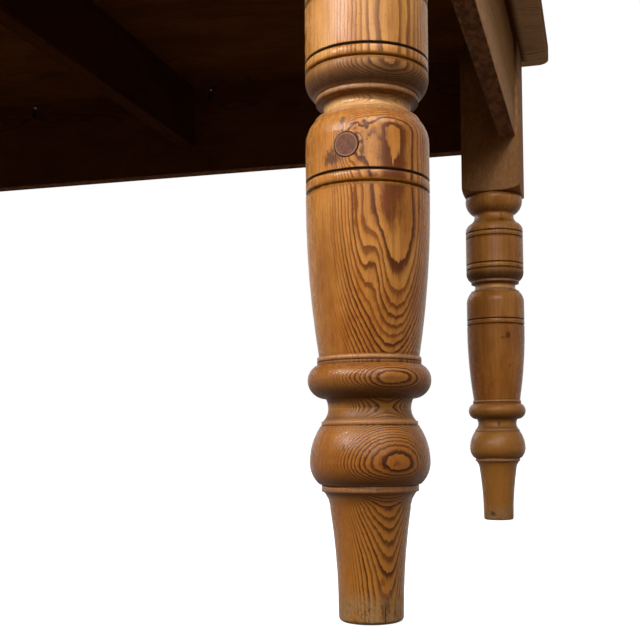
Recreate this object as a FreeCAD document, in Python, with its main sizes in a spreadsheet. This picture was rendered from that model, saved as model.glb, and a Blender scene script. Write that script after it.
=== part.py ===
import FreeCAD, Part
import math
import os
from types import SimpleNamespace

import Sketcher
from FreeCAD import Placement, Rotation, Vector

# A long pine farmhouse table: six tongued and grooved boards on a pegged frame with four
# turned legs. X runs along the table, Y from front to back, and the feet stand on Z = 0.

doc = FreeCAD.newDocument("FarmhouseTable")

lengths = {
    # The whole table
    "table_length": 1830,
    "table_width": 1031,
    "table_height": 766,
    "end_overhang": 42,
    "side_overhang": 31,
    # Boards of the top
    "top_thickness": 28,
    "outer_board_width": 114,
    "board_gap": 0.4,
    "tongue_thickness": 8,
    "tongue_depth": 9,
    "tongue_clearance": 0.2,
    "top_corner_radius": 18,
    "upper_edge_round": 4,
    "lower_edge_round": 3,
    # Square block at the head of each leg
    "block_width": 89,
    "block_height": 232,
    "block_arris": 1.5,
    "shoulder_rise": 9,
    # Turned members of the leg, from the floor up: heights and radii. The taper, vase and
    # barrel share the height that the others leave.
    "foot_round": 3,
    "foot_bottom_radius": 22.8,
    "foot_height": 75,
    "foot_top_radius": 28.4,
    "cove_height": 12,
    "cove_top_radius": 33.2,
    "collar_height": 5,
    "collar_radius": 34.4,
    "bulb_seat_radius": 36,
    "bulb_lower_height": 15,
    "bulb_radius": 42.7,
    "bulb_upper_height": 26,
    "bulb_top_radius": 34.8,
    "bulb_fillet_height": 3,
    "bulb_fillet_radius": 34.2,
    "throat_foot_radius": 33.2,
    "throat_lower_height": 9,
    "throat_radius": 29.4,
    "throat_upper_height": 7,
    "throat_top_radius": 31,
    "ring_lower_height": 13,
    "ring_radius": 43.9,
    "ring_upper_height": 10.5,
    "ring_top_radius": 37.9,
    "ring_fillet_height": 5.5,
    "ring_fillet_radius": 37.1,
    "taper_foot_radius": 35.6,
    "barrel_radius": 44.5,
    "vase_shoulder_height": 15.5,
    "vase_shoulder_radius": 38.5,
    "vase_fillet_height": 2,
    "vase_fillet_radius": 37.6,
    "waist_foot_radius": 36.6,
    "waist_lower_height": 7.5,
    "waist_radius": 31.1,
    "waist_upper_height": 5,
    "waist_top_radius": 35,
    "barrel_fillet_height": 4,
    "barrel_fillet_radius": 37,
    "barrel_seat_radius": 37.8,
    "barrel_lower_height": 13,
    "barrel_shoulder_height": 11,
    "barrel_shoulder_radius": 38.5,
    "neck_lower_height": 13,
    "neck_radius": 30.5,
    "neck_upper_height": 4,
    "neck_top_radius": 32.5,
    "ball_foot_radius": 33.6,
    "ball_lower_height": 20,
    "ball_radius": 44.2,
    "ball_upper_height": 8,
    "ball_top_radius": 41.5,
    # Pairs of scribed lines round the barrel and the vase
    "scribe_inset": 3.8,
    "scribe_pitch": 8.5,
    "scribe_width": 2.4,
    "scribe_depth": 1.6,
    # Round wooden plug in the front right leg
    "plug_radius": 9,
    "plug_depth": 25,
    "plug_rise": 29.5,
    "plug_arris": 0.8,
    "plug_clearance": 0.1,
    # Rails and their pegged tenons
    "rail_depth": 150,
    "rail_thickness": 25,
    "rail_setback": 5.5,
    "rail_arris": 1.5,
    "tenon_thickness": 10,
    "tenon_length": 50,
    "tenon_lower_shoulder": 15,
    "tenon_upper_shoulder": 20,
    "tenon_clearance": 0.15,
    "mortise_end_gap": 1,
    "peg_radius": 4.5,
    "peg_length": 46,
    "peg_proud": 0.8,
    "peg_inset": 20,
    "peg_margin": 30,
    "peg_clearance": 0.1,
    # Cross bearers under the top
    "bearer_from_screw": 41.5,
    "bearer_depth": 104,
    "stub_length": 12,
    "stub_shoulder": 12,
    # Pocket screws that hold the top down
    "rail_screw_margin": 100,
    "pocket_width": 11,
    "pocket_height": 20,
    "pocket_depth": 13,
    "screw_inset": 6.5,
    "screw_ledge": 6,
    "screw_head_radius": 4.2,
    "screw_head_height": 2.6,
    "screw_shank_radius": 2.2,
    "screw_bite": 17,
    "screw_point": 4,
    "screw_clearance": 0.1,
    # One overrun serves every cut that opens to the air
    "overrun": 2,
}
angles = {"plug_turn": 6}

innerBoards = 4
railScrews = 5

sheet = doc.addObject("Spreadsheet::Sheet", "Sizes")
for row, (alias, value) in enumerate({**lengths, **angles}.items(), start=1):
    sheet.set(f"A{row}", alias)
    sheet.set(f"B{row}", str(value))
    sheet.setAlias(f"B{row}", alias)
doc.recompute()


class Size:
    """A length: its value, and the expression that ties it to the sheet."""

    def __init__(self, value, text):
        self.value = value
        self.text = text

    def __add__(self, other):
        return Size(self.value + other.value, f"({self.text} + {other.text})")

    def __sub__(self, other):
        return Size(self.value - other.value, f"({self.text} - {other.text})")

    def __mul__(self, factor):
        return Size(self.value * factor, f"({self.text} * {factor})")

    def __truediv__(self, divisor):
        return Size(self.value / divisor, f"({self.text} / {divisor})")

    def __neg__(self):
        return Size(-self.value, f"(-1 * {self.text})")


zero = Size(0.0, "0")
s = SimpleNamespace(**{name: Size(float(sheet.get(name)), f"Sizes.{name}") for name in lengths})


# Derived places that several pieces share

legHeight = s.table_height - s.top_thickness
blockHalf = s.block_width / 2
legX = s.table_length / 2 - s.end_overhang - blockHalf
legY = s.table_width / 2 - s.side_overhang - blockHalf
railBottom = legHeight - s.rail_depth
tenonBottom = railBottom + s.tenon_lower_shoulder
tenonTop = legHeight - s.tenon_upper_shoulder
pegHeights = [tenonBottom + s.peg_margin, tenonTop - s.peg_margin]
longClear = (legX - blockHalf) * 2
endClear = (legY - blockHalf) * 2
railPitch = (longClear - s.rail_screw_margin * 2) / (railScrews - 1)
bearerX = railPitch - s.bearer_from_screw
innerPitch = (s.table_width - s.outer_board_width * 2) / innerBoards
screwLine = s.rail_thickness - s.screw_inset

# The leg's turned members from the floor up: the radius where each starts, its height, the
# radius where it ends, and the end at which its curve stands upright (none for a straight one).
# A height given by name is one of the long members, whose shares of the rest follow.
members = [
    (s.foot_bottom_radius, s.foot_height, s.foot_top_radius, "start"),
    (s.foot_top_radius, s.cove_height, s.cove_top_radius, "start"),
    (s.collar_radius, s.collar_height, s.collar_radius, None),
    (s.bulb_seat_radius, s.bulb_lower_height, s.bulb_radius, "end"),
    (s.bulb_radius, s.bulb_upper_height, s.bulb_top_radius, "start"),
    (s.bulb_fillet_radius, s.bulb_fillet_height, s.bulb_fillet_radius, None),
    (s.throat_foot_radius, s.throat_lower_height, s.throat_radius, "end"),
    (s.throat_radius, s.throat_upper_height, s.throat_top_radius, "start"),
    (s.throat_top_radius, s.ring_lower_height, s.ring_radius, "end"),
    (s.ring_radius, s.ring_upper_height, s.ring_top_radius, "start"),
    (s.ring_fillet_radius, s.ring_fillet_height, s.ring_fillet_radius, None),
    (s.taper_foot_radius, "taper", s.barrel_radius, "end"),
    (s.barrel_radius, "vase", s.barrel_radius, None),
    (s.barrel_radius, s.vase_shoulder_height, s.vase_shoulder_radius, "start"),
    (s.vase_fillet_radius, s.vase_fillet_height, s.vase_fillet_radius, None),
    (s.waist_foot_radius, s.waist_lower_height, s.waist_radius, "end"),
    (s.waist_radius, s.waist_upper_height, s.waist_top_radius, "start"),
    (s.barrel_fillet_radius, s.barrel_fillet_height, s.barrel_fillet_radius, None),
    (s.barrel_seat_radius, s.barrel_lower_height, s.barrel_radius, "end"),
    (s.barrel_radius, "barrel", s.barrel_radius, None),
    (s.barrel_radius, s.barrel_shoulder_height, s.barrel_shoulder_radius, "start"),
    (s.barrel_shoulder_radius, s.neck_lower_height, s.neck_radius, "end"),
    (s.neck_radius, s.neck_upper_height, s.neck_top_radius, "start"),
    (s.ball_foot_radius, s.ball_lower_height, s.ball_radius, "end"),
    (s.ball_radius, s.ball_upper_height, s.ball_top_radius, "start"),
]
heightShares = {"taper": 0.516, "vase": 0.183, "barrel": 0.301}

blockBottom = legHeight - s.block_height
shortHeights = sum((member[1] for member in members if member[1] not in heightShares), s.foot_round)
longHeights = {name: (blockBottom - shortHeights) * share for name, share in heightShares.items()}


def heightBelow(name):
    """Height above the floor at which the named long member starts."""
    height = s.foot_round
    for _, rise, _, _ in members:
        if rise == name:
            return height
        height = height + longHeights.get(rise, rise)


vaseBottom = heightBelow("vase")
barrelBottom = heightBelow("barrel")
barrelTop = barrelBottom + longHeights["barrel"]


# Sketches whose corners are tied to the sheet


def newSketch(body, name, role, lift=zero, shift=zero):
    """A sketch on the body's own plane, lifted along its normal and shifted along its X."""
    sketch = body.newObject("Sketcher::SketchObject", name)
    plane = next(item for item in body.Origin.OriginFeatures if item.Role == role)
    sketch.AttachmentSupport = [(plane, "")]
    sketch.MapMode = "FlatFace"
    sketch.AttachmentOffset = Placement(Vector(shift.value, 0, lift.value), Rotation())
    sketch.setExpression("AttachmentOffset.Base.x", shift.text)
    sketch.setExpression("AttachmentOffset.Base.z", lift.text)
    return sketch


def tie(sketch, size, *constraint):
    """Adds a constraint with the size's value and ties it to the sheet."""
    index = sketch.addConstraint(Sketcher.Constraint(*constraint, size.value))
    sketch.setExpression(f"Constraints[{index}]", size.text)


def placePoint(sketch, geometry, end, x, y):
    """Ties a point of the sketch to its two distances from the sketch's origin."""
    for direction, size, axis in (("DistanceX", x, -2), ("DistanceY", y, -1)):
        if size is zero:
            sketch.addConstraint(Sketcher.Constraint("PointOnObject", geometry, end, axis))
        elif size.value < 0:
            tie(sketch, -size, direction, geometry, end, -1, 1)
        else:
            tie(sketch, size, direction, -1, 1, geometry, end)


def addCircle(sketch, x, y, radius):
    centre = Vector(x.value, y.value, 0)
    index = sketch.addGeometry(Part.Circle(centre, Vector(0, 0, 1), radius.value), False)
    tie(sketch, radius, "Radius", index)
    placePoint(sketch, index, 3, x, y)


class Outline:
    """A closed loop of straight sides and arcs; each corner is a pair of sizes."""

    def __init__(self, sketch, x, y):
        self.sketch = sketch
        self.corners = [(x, y)]
        self.sides = []

    def line(self, x, y):
        self.corners.append((x, y))
        self.sides.append(())
        return self

    def curve(self, x, y, tangent, at):
        """An arc that is upright or level where it starts or where it ends."""
        self.corners.append((x, y))
        self.sides.append((tangent, at))
        return self

    def addArc(self, first, last, tangent, at):
        fixed, free = (first, last) if at == "start" else (last, first)
        reach = free - fixed
        if tangent == "upright":
            centre = fixed + Vector(reach.Length**2 / (2 * reach.x), 0, 0)
        else:
            centre = fixed + Vector(0, reach.Length**2 / (2 * reach.y), 0)
        turn = (first - centre).cross(last - centre).z
        begin, finish = (first, last) if turn > 0 else (last, first)
        startAngle = math.atan2(begin.y - centre.y, begin.x - centre.x)
        endAngle = math.atan2(finish.y - centre.y, finish.x - centre.x)
        if endAngle < startAngle:
            endAngle += 2 * math.pi
        circle = Part.Circle(centre, Vector(0, 0, 1), (first - centre).Length)
        index = self.sketch.addGeometry(Part.ArcOfCircle(circle, startAngle, endAngle), False)
        ends = (1, 2) if turn > 0 else (2, 1)
        fixedEnd = ends[0] if at == "start" else ends[1]
        aligned = "Horizontal" if tangent == "upright" else "Vertical"
        self.sketch.addConstraint(Sketcher.Constraint(aligned, index, 3, index, fixedEnd))
        return index, ends

    def close(self, *curve):
        """Closes the loop, straight or by a curve, and ties every corner."""
        self.sides.append(curve)
        points = [Vector(x.value, y.value, 0) for x, y in self.corners]
        placed = []
        for number, side in enumerate(self.sides):
            first = points[number]
            last = points[(number + 1) % len(points)]
            if side:
                placed.append(self.addArc(first, last, *side))
            else:
                segment = Part.LineSegment(first, last)
                placed.append((self.sketch.addGeometry(segment, False), (1, 2)))
        for number, (index, ends) in enumerate(placed):
            nextIndex, nextEnds = placed[(number + 1) % len(placed)]
            joint = (index, ends[1], nextIndex, nextEnds[0])
            self.sketch.addConstraint(Sketcher.Constraint("Coincident", *joint))
            placePoint(self.sketch, index, ends[0], *self.corners[number])


def addRectangle(sketch, left, bottom, right, top):
    outline = Outline(sketch, left, bottom)
    outline.line(right, bottom).line(right, top).line(left, top).close()


# Features


def addPad(body, name, sketch, length, symmetric=False, reverse=False):
    return extrude(body, "PartDesign::Pad", name, sketch, length, symmetric, reverse)


def addPocket(body, name, sketch, length, symmetric=False, reverse=False):
    return extrude(body, "PartDesign::Pocket", name, sketch, length, symmetric, reverse)


def extrude(body, kind, name, sketch, length, symmetric, reverse):
    feature = body.newObject(kind, name)
    feature.Profile = sketch
    feature.SideType = "Symmetric" if symmetric else "One side"
    feature.Reversed = reverse
    feature.setExpression("Length", length.text)
    return feature


def addTurning(body, kind, name, sketch):
    """A full turn of the sketch about its own upright axis."""
    feature = body.newObject(kind, name)
    feature.Profile = sketch
    feature.ReferenceAxis = (sketch, ["V_Axis"])
    feature.Angle = 360
    return feature


def addRow(body, name, originals, sketch, length, count):
    """Repeats features in a straight row along the sketch's X."""
    feature = body.newObject("PartDesign::LinearPattern", name)
    feature.Originals = originals
    feature.Direction = (sketch, ["H_Axis"])
    feature.setExpression("Length", length.text)
    feature.Occurrences = count
    body.Tip = feature
    return feature


def addFillet(body, name, radius, chosen):
    """Rounds the edges of the body's last feature that the test chooses."""
    doc.recompute()
    base = body.Tip
    names = [f"Edge{n}" for n, edge in enumerate(base.Shape.Edges, start=1) if chosen(edge)]
    feature = body.newObject("PartDesign::Fillet", name)
    feature.Base = (base, names)
    feature.setExpression("Radius", radius.text)
    return feature


parts = []


def newBody(label):
    body = doc.addObject("PartDesign::Body", label)
    body.Label = label
    parts.append(body)
    return body


def place(body, x, y, z, turns=0):
    """Stands a body at a place in the table, turned by so many quarter turns."""
    body.Placement = Placement(Vector(x.value, y.value, z.value), Rotation(90 * turns, 0, 0))
    for axis, size in (("x", x), ("y", y), ("z", z)):
        body.setExpression(f"Placement.Base.{axis}", size.text)


# Top boards


def makeBoard(label, front, width, frontBoard=False, backBoard=False):
    """One board, tongued at the back and grooved at the front where it meets another."""
    body = newBody(label)
    halfLength = s.table_length / 2
    corner = s.top_corner_radius
    plan = newSketch(body, f"{label}_plan", "XY_Plane")
    outline = Outline(plan, -halfLength, corner if frontBoard else zero)
    if frontBoard:
        outline.curve(corner - halfLength, zero, "upright", "start")
        outline.line(halfLength - corner, zero).curve(halfLength, corner, "upright", "end")
    else:
        outline.line(halfLength, zero)
    if backBoard:
        outline.line(halfLength, width - corner)
        outline.curve(halfLength - corner, width, "upright", "start")
        outline.line(corner - halfLength, width)
        outline.curve(-halfLength, width - corner, "upright", "end")
    else:
        outline.line(halfLength, width).line(-halfLength, width)
    outline.close()
    addPad(body, f"{label}_blank", plan, s.top_thickness)

    middle = s.top_thickness / 2
    if not backBoard:
        tongue = newSketch(body, f"{label}_tongue_end", "YZ_Plane")
        low = middle - s.tongue_thickness / 2
        high = middle + s.tongue_thickness / 2
        addRectangle(tongue, width - s.tongue_depth, low, width + s.tongue_depth, high)
        addPad(body, f"{label}_tongue", tongue, s.table_length, symmetric=True)
    if not frontBoard:
        groove = newSketch(body, f"{label}_groove_end", "YZ_Plane")
        low = middle - s.tongue_thickness / 2 - s.tongue_clearance
        high = middle + s.tongue_thickness / 2 + s.tongue_clearance
        addRectangle(groove, -s.overrun, low, s.tongue_depth + s.tongue_clearance, high)
        addPocket(body, f"{label}_groove", groove, s.table_length + s.overrun, symmetric=True)

    drillBoard(body, label, width, frontBoard, backBoard)
    roundBoard(body, label, width, frontBoard, backBoard)
    place(body, zero, front, legHeight)


def drillBoard(body, label, width, frontBoard, backBoard):
    """Pilot holes in the underside, over the screws of the rails and bearers."""
    radius = s.screw_shank_radius + s.screw_clearance
    depth = s.screw_bite + s.screw_clearance
    if frontBoard or backBoard:
        fromEdge = s.side_overhang + s.rail_setback + screwLine
        row = fromEdge if frontBoard else width - fromEdge
        span = railPitch * (railScrews - 1)
        holes = newSketch(body, f"{label}_pilot", "XY_Plane", shift=-span / 2)
        addCircle(holes, zero, row, radius)
        hole = addPocket(body, f"{label}_pilot_hole", holes, depth, reverse=True)
        addRow(body, f"{label}_pilot_row", [hole], holes, span, railScrews)
        return
    holes = newSketch(body, f"{label}_pilots", "XY_Plane")
    endLine = legX + blockHalf - s.rail_setback - screwLine
    bearerLine = bearerX + s.rail_thickness / 2 - screwLine
    for line in (endLine, bearerLine):
        addCircle(holes, line, width / 2, radius)
        addCircle(holes, -line, width / 2, radius)
    addPocket(body, f"{label}_pilot_holes", holes, depth, reverse=True)


def roundBoard(body, label, width, frontBoard, backBoard):
    """Rounds the edges that show: both ends, and the long outer edge of an outer board."""
    tiny = s.board_gap.value / 10
    halfLength = s.table_length.value / 2
    corner = s.top_corner_radius.value

    def onRim(edge, height):
        box = edge.BoundBox
        if abs(box.ZMin - height) > tiny or abs(box.ZMax - height) > tiny:
            return False
        atEnd = box.XMin > halfLength - corner - tiny or box.XMax < corner + tiny - halfLength
        outFront = frontBoard and box.YMax < corner + tiny
        outBack = backBoard and box.YMin > width.value - corner - tiny
        isEnd = atEnd and (box.XLength < tiny or outFront or outBack)
        isSide = (outFront or outBack) and box.YLength < tiny
        return isEnd or isSide

    topFace = s.top_thickness.value
    addFillet(body, f"{label}_upper_rim", s.upper_edge_round, lambda edge: onRim(edge, topFace))
    addFillet(body, f"{label}_lower_rim", s.lower_edge_round, lambda edge: onRim(edge, 0))


def makeTop():
    edge = s.table_width / 2
    gap = s.board_gap
    outerWidth = s.outer_board_width - gap / 2
    makeBoard("top_board_1", -edge, outerWidth, frontBoard=True)
    for number in range(innerBoards):
        front = s.outer_board_width - edge + innerPitch * number + gap / 2
        makeBoard(f"top_board_{number + 2}", front, innerPitch - gap)
    back = edge - s.outer_board_width + gap / 2
    makeBoard(f"top_board_{innerBoards + 2}", back, outerWidth, backBoard=True)


# Legs. Each is made with its inner faces towards +X and +Y and then turned to its corner.


def drawTurnedOutline(sketch):
    bottomFlat = s.foot_bottom_radius - s.foot_round
    outline = Outline(sketch, zero, zero).line(bottomFlat, zero)
    outline.curve(s.foot_bottom_radius, s.foot_round, "upright", "end")
    height = s.foot_round
    radius = s.foot_bottom_radius
    for startRadius, rise, endRadius, upright in members:
        if startRadius is not radius:
            outline.line(startRadius, height)
        height = height + longHeights.get(rise, rise)
        if upright:
            outline.curve(endRadius, height, "upright", upright)
        else:
            outline.line(endRadius, height)
        radius = endRadius
    outline.line(zero, height).close()


def drawBlockSection(sketch):
    half = blockHalf
    arris = s.block_arris
    outline = Outline(sketch, arris - half, -half)
    outline.line(half - arris, -half).curve(half, arris - half, "upright", "end")
    outline.line(half, half - arris).curve(half - arris, half, "upright", "start")
    outline.line(arris - half, half).curve(-half, half - arris, "upright", "end")
    outline.line(-half, arris - half).close("upright", "start")


def drawShoulder(sketch):
    """The turner's rounded shoulder, which trims the lower corners of the square block."""
    reach = blockHalf * math.sqrt(2) + s.overrun
    outline = Outline(sketch, blockHalf, blockBottom)
    outline.curve(reach, blockBottom + s.shoulder_rise, "level", "start")
    outline.line(reach, blockBottom).close()


def cutScribes(body, label):
    """Three pairs of V cuts: at the vase's foot, over the barrel's foot and under its head."""
    starts = {
        "vase": vaseBottom + s.scribe_inset,
        "barrel_foot": barrelBottom + s.scribe_inset,
        "barrel_head": barrelTop - s.scribe_inset - s.scribe_pitch,
    }
    deep = s.barrel_radius - s.scribe_depth
    outside = s.barrel_radius + s.overrun
    for name, start in starts.items():
        sketch = newSketch(body, f"{label}_{name}_scribe_outline", "XZ_Plane")
        for height in (start, start + s.scribe_pitch):
            low = height - s.scribe_width / 2
            high = height + s.scribe_width / 2
            outline = Outline(sketch, s.barrel_radius, low).line(outside, low)
            outline.line(outside, high).line(s.barrel_radius, high).line(deep, height).close()
        addTurning(body, "PartDesign::Groove", f"{label}_{name}_scribes", sketch)


def cutMortises(body, label):
    """A mortise in each inner face, level with the rails' tenons."""
    middle = s.rail_setback + s.rail_thickness / 2 - blockHalf
    near = middle - s.tenon_thickness / 2 - s.tenon_clearance
    far = middle + s.tenon_thickness / 2 + s.tenon_clearance
    low = tenonBottom - s.tenon_clearance
    high = tenonTop + s.tenon_clearance
    depth = s.tenon_length + s.mortise_end_gap
    onX = newSketch(body, f"{label}_mortise_x_mouth", "YZ_Plane", lift=blockHalf)
    addRectangle(onX, near, low, far, high)
    addPocket(body, f"{label}_mortise_x", onX, depth)
    onY = newSketch(body, f"{label}_mortise_y_mouth", "XZ_Plane", lift=-blockHalf)
    addRectangle(onY, near, low, far, high)
    addPocket(body, f"{label}_mortise_y", onY, depth, reverse=True)


def addPegs(body, label, radius, start, length, add):
    """Two pegs through each tenon, from both outer faces: solid pegs or their holes."""
    across = blockHalf - s.peg_inset
    fromFront = newSketch(body, f"{label}_y_ends", "XZ_Plane", lift=start)
    fromEnd = newSketch(body, f"{label}_x_ends", "YZ_Plane", lift=-start)
    for height in pegHeights:
        addCircle(fromFront, across, height, radius)
        addCircle(fromEnd, across, height, radius)
    inward = add is addPad
    add(body, f"{label}_y", fromFront, length, reverse=inward)
    add(body, f"{label}_x", fromEnd, length, reverse=not inward)


def boreForPlug(body, label):
    """The bore for the round plug, a little to the left of square with the front."""
    start = s.barrel_radius + s.overrun
    mouth = newSketch(body, f"{label}_plug_mouth", "YZ_Plane")
    turn = math.radians(angles["plug_turn"])
    back = Vector(start.value * math.sin(turn), 0, -start.value * math.cos(turn))
    mouth.AttachmentOffset = Placement(back, Rotation(Vector(0, 1, 0), -angles["plug_turn"]))
    mouth.setExpression("AttachmentOffset.Base.x", f"{start.text} * sin(Sizes.plug_turn * 1deg)")
    mouth.setExpression("AttachmentOffset.Base.z", f"-1 * {start.text} * cos(Sizes.plug_turn * 1deg)")
    addCircle(mouth, zero, vaseBottom + s.plug_rise, s.plug_radius + s.plug_clearance)
    addPocket(body, f"{label}_plug_bore", mouth, s.plug_depth + s.overrun, reverse=True)


def makeLeg(label, x, y, turns, plugged=False):
    body = newBody(label)
    outline = newSketch(body, f"{label}_outline", "XZ_Plane")
    drawTurnedOutline(outline)
    addTurning(body, "PartDesign::Revolution", f"{label}_turning", outline)
    section = newSketch(body, f"{label}_section", "XY_Plane", lift=blockBottom)
    drawBlockSection(section)
    addPad(body, f"{label}_block", section, legHeight - blockBottom)
    shoulder = newSketch(body, f"{label}_shoulder_outline", "XZ_Plane")
    drawShoulder(shoulder)
    addTurning(body, "PartDesign::Groove", f"{label}_shoulder", shoulder)
    cutScribes(body, label)
    cutMortises(body, label)
    holeRadius = s.peg_radius + s.peg_clearance
    addPegs(body, f"{label}_peg_hole", holeRadius, blockHalf, s.peg_length, addPocket)
    if plugged:
        boreForPlug(body, label)
    place(body, x, y, zero, turns)


def makePegs(label, x, y, turns):
    body = newBody(label)
    start = blockHalf + s.peg_proud
    addPegs(body, f"{label}_peg", s.peg_radius, start, s.peg_length + s.peg_proud, addPad)
    place(body, x, y, zero, turns)


def makePlug():
    """A short dowel with an eased rim, seated in the front right leg."""
    body = newBody("leg_plug")
    face = newSketch(body, "leg_plug_outline", "XY_Plane")
    outline = Outline(face, zero, zero).line(s.plug_radius, zero)
    outline.line(s.plug_radius, s.plug_depth - s.plug_arris)
    outline.curve(s.plug_radius - s.plug_arris, s.plug_depth, "upright", "start")
    outline.line(zero, s.plug_depth).close()
    addTurning(body, "PartDesign::Revolution", "leg_plug_dowel", face)
    seat = s.barrel_radius - s.plug_depth
    turn = math.radians(angles["plug_turn"])
    height = vaseBottom + s.plug_rise
    base = Vector(
        legX.value - seat.value * math.sin(turn),
        -legY.value - seat.value * math.cos(turn),
        height.value,
    )
    body.Placement = Placement(base, Rotation(180 - angles["plug_turn"], 0, 0))
    body.setExpression("Placement.Base.x", f"{legX.text} - {seat.text} * sin(Sizes.plug_turn * 1deg)")
    body.setExpression("Placement.Base.y", f"-1 * {legY.text} - {seat.text} * cos(Sizes.plug_turn * 1deg)")
    body.setExpression("Placement.Base.z", height.text)


def makeLegs():
    corners = [
        ("front_left", -legX, -legY),
        ("front_right", legX, -legY),
        ("back_right", legX, legY),
        ("back_left", -legX, legY),
    ]
    for turns, (corner, x, y) in enumerate(corners):
        makeLeg(f"leg_{corner}", x, y, turns, plugged=corner == "front_right")
        makePegs(f"pegs_{corner}", x, y, turns)
    makePlug()


# Rails and bearers. Each is made along X with its outer face at Y = 0 and its inner face
# towards +Y, and then turned to its side of the table.


def makeBeam(label, clear, depth, tenon, tenonSpan, pitch, screws):
    """A rail or bearer between its shoulders, with tenons and a row of screw pockets."""
    body = newBody(label)
    bottom = legHeight - depth
    arris = s.rail_arris
    thick = s.rail_thickness
    section = newSketch(body, f"{label}_section", "YZ_Plane")
    outline = Outline(section, arris, bottom).line(thick - arris, bottom)
    outline.curve(thick, bottom + arris, "upright", "end")
    outline.line(thick, legHeight).line(zero, legHeight).line(zero, bottom + arris)
    outline.close("upright", "start")
    addPad(body, f"{label}_board", section, clear, symmetric=True)
    tongue = newSketch(body, f"{label}_tenon_section", "YZ_Plane")
    near = thick / 2 - s.tenon_thickness / 2
    addRectangle(tongue, near, tenonSpan[0], near + s.tenon_thickness, tenonSpan[1])
    addPad(body, f"{label}_tenons", tongue, clear + tenon * 2, symmetric=True)
    cutScrewPockets(body, label, pitch, screws)
    return body


def cutScrewPockets(body, label, pitch, screws):
    """Gouged pockets in the inner face, each with a screw hole up through its ledge."""
    span = pitch * (screws - 1)
    top = legHeight - s.screw_ledge
    bend = top - s.pocket_height + s.pocket_width / 2
    half = s.pocket_width / 2
    mouth = newSketch(body, f"{label}_pocket_mouth", "XZ_Plane", lift=-s.rail_thickness, shift=-span / 2)
    outline = Outline(mouth, -half, top).line(-half, bend)
    outline.curve(zero, bend - half, "upright", "start").curve(half, bend, "upright", "end")
    outline.line(half, top).close()
    pocket = addPocket(body, f"{label}_pocket", mouth, s.pocket_depth, reverse=True)
    drill = newSketch(body, f"{label}_screw_centre", "XY_Plane", lift=legHeight, shift=-span / 2)
    addCircle(drill, zero, screwLine, s.screw_shank_radius + s.screw_clearance)
    hole = addPocket(body, f"{label}_screw_hole", drill, s.screw_ledge + s.overrun)
    addRow(body, f"{label}_pocket_row", [pocket, hole], mouth, span, screws)


def makeRail(label, clear, pitch, screws, x, y, turns, bearers=False):
    tenonSpan = (tenonBottom, tenonTop)
    body = makeBeam(label, clear, s.rail_depth, s.tenon_length, tenonSpan, pitch, screws)
    holes = newSketch(body, f"{label}_peg_centres", "XZ_Plane")
    across = clear / 2 + s.peg_inset
    for height in pegHeights:
        addCircle(holes, across, height, s.peg_radius + s.peg_clearance)
        addCircle(holes, -across, height, s.peg_radius + s.peg_clearance)
    addPocket(body, f"{label}_peg_holes", holes, s.rail_thickness)
    if bearers:
        cutStubMortises(body, label)
    place(body, x, y, zero, turns)


def cutStubMortises(body, label):
    """Shallow mortises in a long rail's inner face for the bearers' stub tenons."""
    mouth = newSketch(body, f"{label}_stub_mouths", "XZ_Plane", lift=-s.rail_thickness)
    half = s.tenon_thickness / 2 + s.tenon_clearance
    low = stubSpan[0] - s.tenon_clearance
    high = stubSpan[1] + s.tenon_clearance
    addRectangle(mouth, bearerX - half, low, bearerX + half, high)
    addRectangle(mouth, -bearerX - half, low, half - bearerX, high)
    addPocket(body, f"{label}_stub_mortises", mouth, s.stub_length + s.mortise_end_gap, reverse=True)


def makeScrews(label, pitch, screws, x, y, turns):
    """A row of screws, heads down in their pockets, points up in the top."""
    body = newBody(label)
    span = pitch * (screws - 1)
    seat = legHeight - s.screw_ledge
    tip = legHeight + s.screw_bite
    profile = newSketch(body, f"{label}_profile", "XZ_Plane", lift=-screwLine, shift=-span / 2)
    outline = Outline(profile, zero, seat - s.screw_head_height)
    outline.curve(s.screw_head_radius, seat, "level", "start").line(s.screw_shank_radius, seat)
    outline.line(s.screw_shank_radius, tip - s.screw_point).line(zero, tip).close()
    screw = addTurning(body, "PartDesign::Revolution", f"{label}_screw", profile)
    addRow(body, f"{label}_row", [screw], profile, span, screws)
    place(body, x, y, zero, turns)


stubSpan = (legHeight - s.bearer_depth + s.stub_shoulder, legHeight - s.stub_shoulder)


def makeFrame():
    outX = legX + blockHalf - s.rail_setback
    outY = legY + blockHalf - s.rail_setback
    bearerClear = (outY - s.rail_thickness) * 2
    longSpots = {"front": (zero, -outY, 0), "back": (zero, outY, 2)}
    endSpots = {"right": (outX, zero, 1), "left": (-outX, zero, 3)}
    outBearer = bearerX + s.rail_thickness / 2
    bearerSpots = {"right": (outBearer, zero, 1), "left": (-outBearer, zero, 3)}
    for side, spot in longSpots.items():
        makeRail(f"rail_{side}", longClear, railPitch, railScrews, *spot, bearers=True)
        makeScrews(f"screws_rail_{side}", railPitch, railScrews, *spot)
    for side, spot in endSpots.items():
        makeRail(f"rail_{side}", endClear, innerPitch, innerBoards, *spot)
        makeScrews(f"screws_rail_{side}", innerPitch, innerBoards, *spot)
    for side, spot in bearerSpots.items():
        label = f"bearer_{side}"
        size = (bearerClear, s.bearer_depth, s.stub_length, stubSpan)
        place(makeBeam(label, *size, innerPitch, innerBoards), *spot[:2], zero, spot[2])
        makeScrews(f"screws_{label}", innerPitch, innerBoards, *spot)


def checkShapes():
    """Every object has recomputed, every part is sound, and every cut takes wood away."""
    for item in doc.Objects:
        assert "Invalid" not in item.State and "Error" not in item.State, item.Name
    for feature in doc.Objects:
        if feature.TypeId in ("PartDesign::Pocket", "PartDesign::Groove"):
            before = feature.BaseFeature.Shape.Volume
            assert feature.Shape.Volume < before, f"{feature.Name} cuts nothing"
    for body in parts:
        assert not body.Shape.isNull() and body.Shape.isValid(), body.Label


makeTop()
makeLegs()
makeFrame()
doc.recompute()
checkShapes()

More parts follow.
